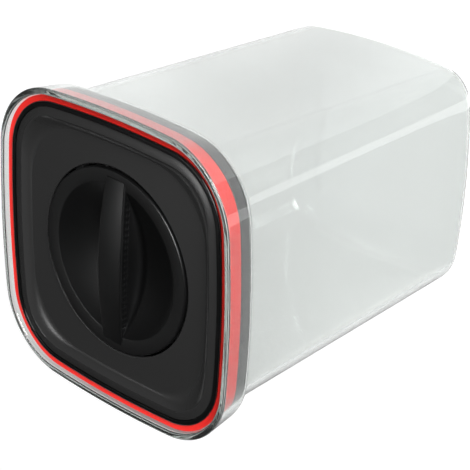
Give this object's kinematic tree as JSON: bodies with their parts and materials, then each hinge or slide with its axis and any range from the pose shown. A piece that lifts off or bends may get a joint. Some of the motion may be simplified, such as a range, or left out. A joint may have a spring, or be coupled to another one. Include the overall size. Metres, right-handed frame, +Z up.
{
  "type": "airtight_food_container",
  "caption": "Clear square food storage canister with a black recessed twist-lock lid, a round dished dial with a ribbed grip bar, and a red silicone seal.",
  "frame": {"origin": "Centre of the underside of the canister, at the level it stands on; x and y run square to its sides.", "axes": "+Z up along the dial's axis; the grip bar of the dial lies nearly along y at rest."},
  "size_m": [0.121, 0.121, 0.158],
  "materials": {
    "clear_plastic": "clear, smooth, slightly green-grey, with fine scratches",
    "red_silicone": "satin red silicone",
    "black_plastic": "satin black, broad soft highlights",
    "dial_plastic": "satin black, smooth dish and fine-ribbed grip",
    "inner_plastic": "matte black moulding",
    "natural_plastic": "natural low-friction plastic",
    "steel": "plain stainless"
  },
  "bodies": {
    "canister": {"canister": "clear_plastic"},
    "lid": {"lid_frame": "black_plastic", "lid_panel": "black_plastic", "seal": "red_silicone", "panel_screw_1": "steel", "panel_screw_2": "steel", "panel_screw_3": "steel", "panel_screw_4": "steel", "glide_ring": "natural_plastic", "pivot_bush": "natural_plastic"},
    "dial": {"dial": "dial_plastic", "cam_ring": "inner_plastic", "cam_screw_1": "steel", "cam_screw_2": "steel", "cam_screw_3": "steel", "pivot_washer": "steel", "pivot_screw": "steel"},
    "plate": {"pressure_plate": "inner_plastic", "hub_cap": "inner_plastic", "cap_seal": "red_silicone"}
  },
  "joints": [
    {"name": "lid_lift", "type": "slide", "parent": "canister", "child": "lid", "axis": [0, 0, 1], "range_m": [0, 0.04]},
    {"name": "dial_turn", "type": "hinge", "parent": "lid", "child": "dial", "pos_m": [0, 0, 0.1551], "axis": [0, 0, -1], "range_deg": [0, 90]},
    {"name": "plate_rise", "type": "slide", "parent": "lid", "child": "plate", "axis": [0, 0, 1], "range_m": [0, 0.0016], "deforming": ["seal"]}
  ],
  "couplings": [
    {"joint": "plate_rise", "follows": "dial_turn", "m_per_rad": 0.0010185}
  ]
}
